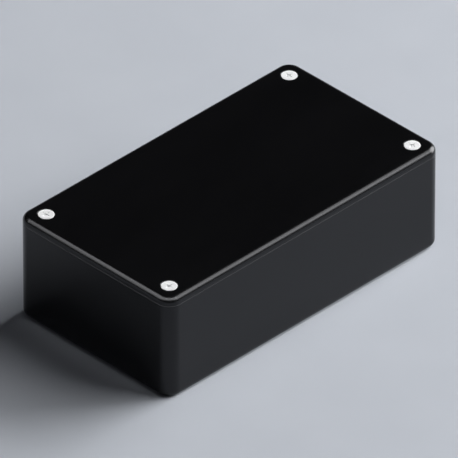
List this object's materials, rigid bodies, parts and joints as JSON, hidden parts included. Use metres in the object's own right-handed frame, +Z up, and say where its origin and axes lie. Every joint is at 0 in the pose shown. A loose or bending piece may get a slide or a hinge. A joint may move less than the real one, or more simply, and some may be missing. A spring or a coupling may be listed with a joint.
{
  "type": "plastic project box",
  "caption": "Closed rectangular black plastic case for electronics, with rounded edges, a lapped lid held by countersunk screws, card guides and board stand-offs inside.",
  "frame": {"origin": "centre of the flat underside of the base, on the plane the case rests on", "axes": "+X along the length to the right, +Y across the width to the rear, +Z up through the lid; the front is the long wall at -Y"},
  "size_m": [0.15, 0.084, 0.047],
  "materials": {
    "black_abs": "moulded black ABS, satin with a very fine grain",
    "zinc_steel": "bright zinc plating",
    "insert_brass": "turned and knurled brass"
  },
  "bodies": {
    "base": {"base": "black_abs", "insert_front_left": "insert_brass", "insert_front_right": "insert_brass", "insert_rear_left": "insert_brass", "insert_rear_right": "insert_brass"},
    "lid": {"lid": "black_abs"},
    "screw_front_left": {"screw_front_left": "zinc_steel"},
    "screw_front_right": {"screw_front_right": "zinc_steel"},
    "screw_rear_left": {"screw_rear_left": "zinc_steel"},
    "screw_rear_right": {"screw_rear_right": "zinc_steel"}
  },
  "joints": [
    {"name": "lid_lift", "type": "slide", "parent": "base", "child": "lid", "axis": [0, 0, 1], "range_m": [0, 0.06]},
    {"name": "screw_front_left_out", "type": "slide", "parent": "lid", "child": "screw_front_left", "axis": [0, 0, 1], "range_m": [0, 0.016]},
    {"name": "screw_front_right_out", "type": "slide", "parent": "lid", "child": "screw_front_right", "axis": [0, 0, 1], "range_m": [0, 0.016]},
    {"name": "screw_rear_left_out", "type": "slide", "parent": "lid", "child": "screw_rear_left", "axis": [0, 0, 1], "range_m": [0, 0.016]},
    {"name": "screw_rear_right_out", "type": "slide", "parent": "lid", "child": "screw_rear_right", "axis": [0, 0, 1], "range_m": [0, 0.016]}
  ]
}
